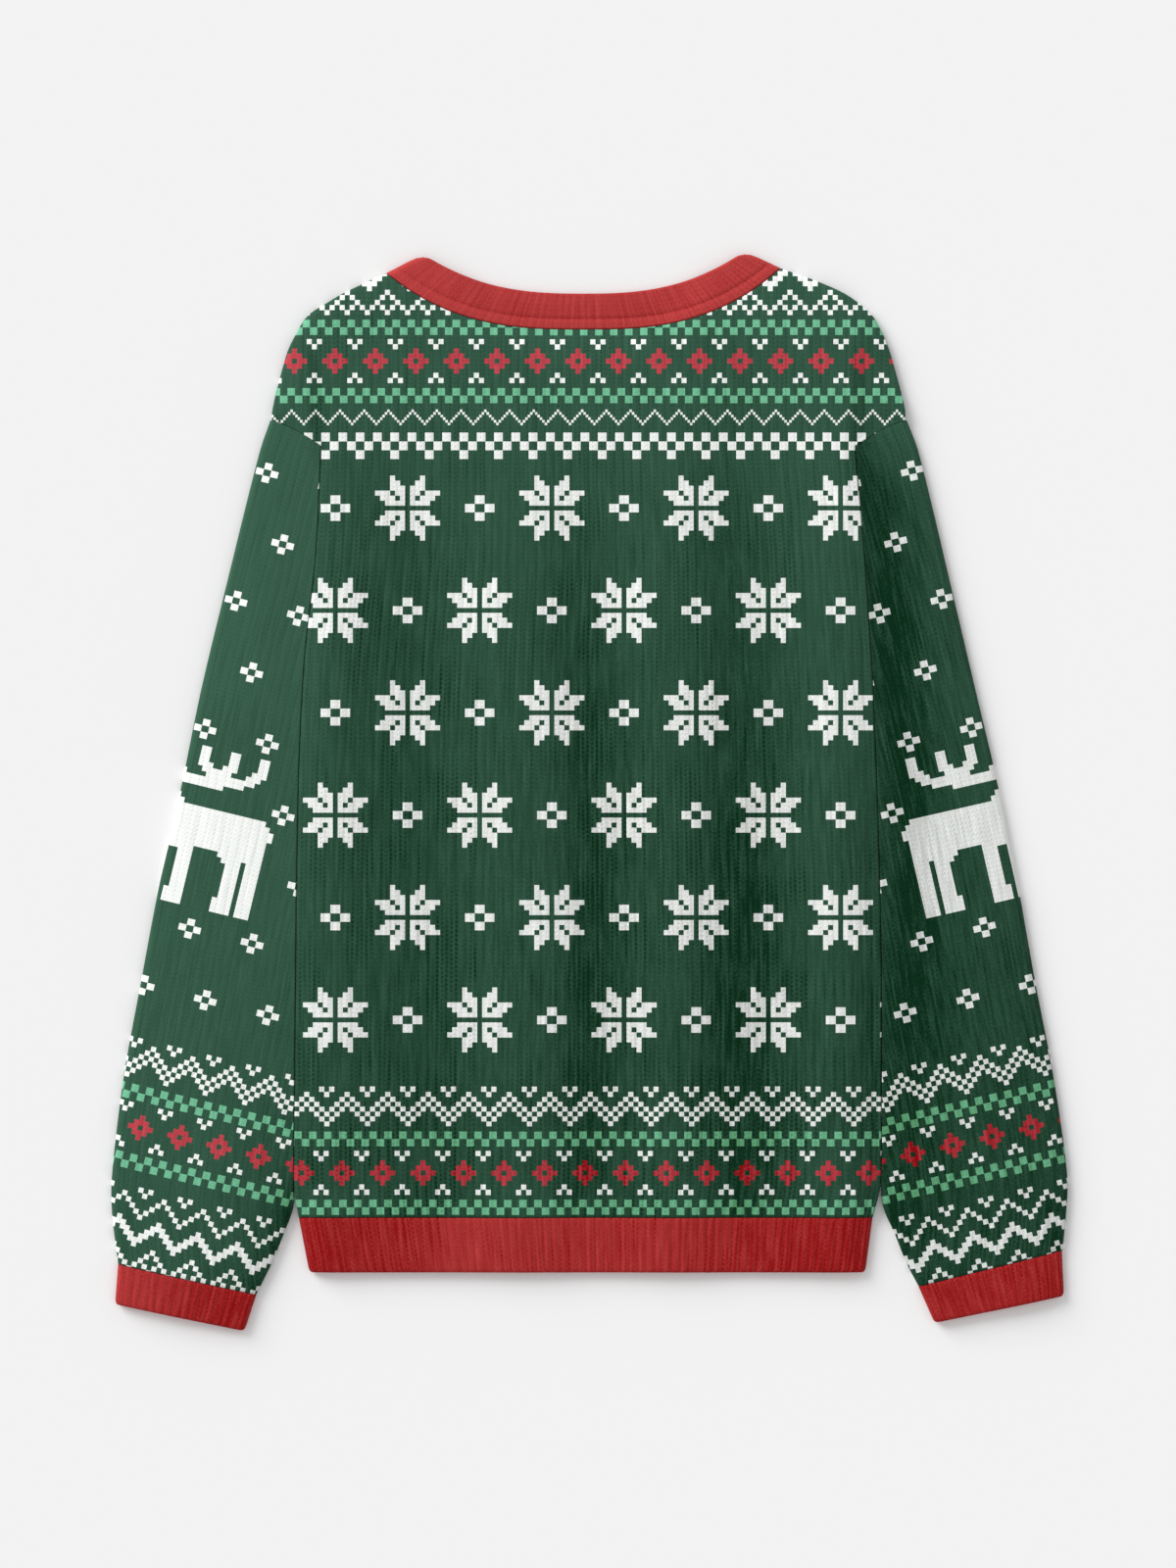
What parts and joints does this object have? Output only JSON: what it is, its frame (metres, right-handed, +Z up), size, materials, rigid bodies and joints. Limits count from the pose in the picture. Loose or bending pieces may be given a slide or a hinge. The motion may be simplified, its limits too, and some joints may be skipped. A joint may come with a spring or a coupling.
{
  "type": "christmas sweater",
  "caption": "Crew-neck knitted sweater with drop shoulders, laid flat on its front, back up, arms along the body, with ribbed neckband, cuffs and hem.",
  "frame": {"origin": "under the middle of the sweater's outline, on the surface that it lies on", "axes": "+X across the body towards the right sleeve as seen from above, +Y from the hem to the collar, +Z up from the surface"},
  "size_m": [0.6597, 0.7432, 0.0096],
  "materials": {
    "knit_body": "fine ribbed knit, dark green with white, light green and red motifs, matt",
    "knit_rib": "red ribbed knit, matt"
  },
  "bodies": {
    "root": {"back_panel": "knit_body", "front_panel": "knit_body", "sleeve_left": "knit_body", "sleeve_right": "knit_body", "cuff_left": "knit_rib", "cuff_right": "knit_rib", "hem_band": "knit_rib", "neckband": "knit_rib"}
  },
  "joints": []
}
